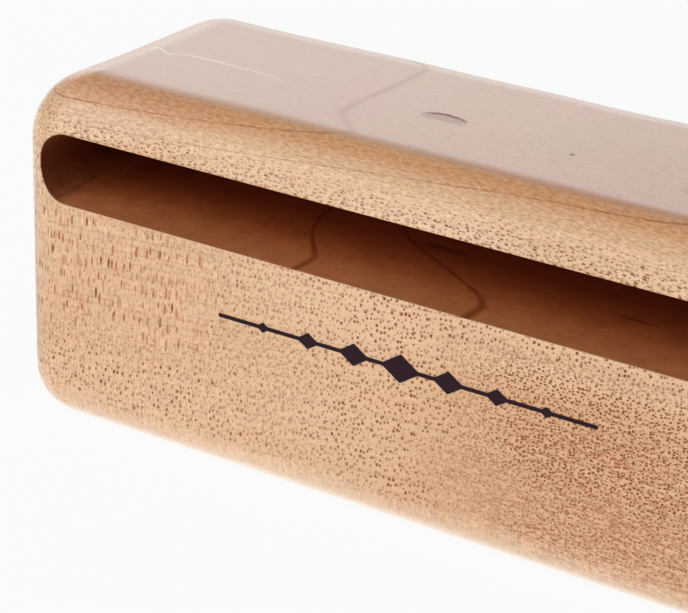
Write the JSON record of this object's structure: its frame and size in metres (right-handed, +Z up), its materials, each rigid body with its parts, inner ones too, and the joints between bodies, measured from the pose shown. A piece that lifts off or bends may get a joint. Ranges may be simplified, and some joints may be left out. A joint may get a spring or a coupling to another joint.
{
  "type": "wood block",
  "caption": "Concert wood block: a solid rounded hardwood block with one long milled sound slot near its top, struck with a beater.",
  "frame": {"origin": "centre of the underside, on the surface that the block stands on", "axes": "+X along the block, from left to right as seen from the slotted front; -Y out of the slotted front; +Z up, towards the struck top"},
  "size_m": [0.168, 0.0613, 0.065],
  "materials": {
    "maple": "satin lacquer over light maple",
    "ink": "flat dark print"
  },
  "bodies": {
    "root": {"block_body": "maple", "printed_mark": "ink"}
  },
  "joints": []
}
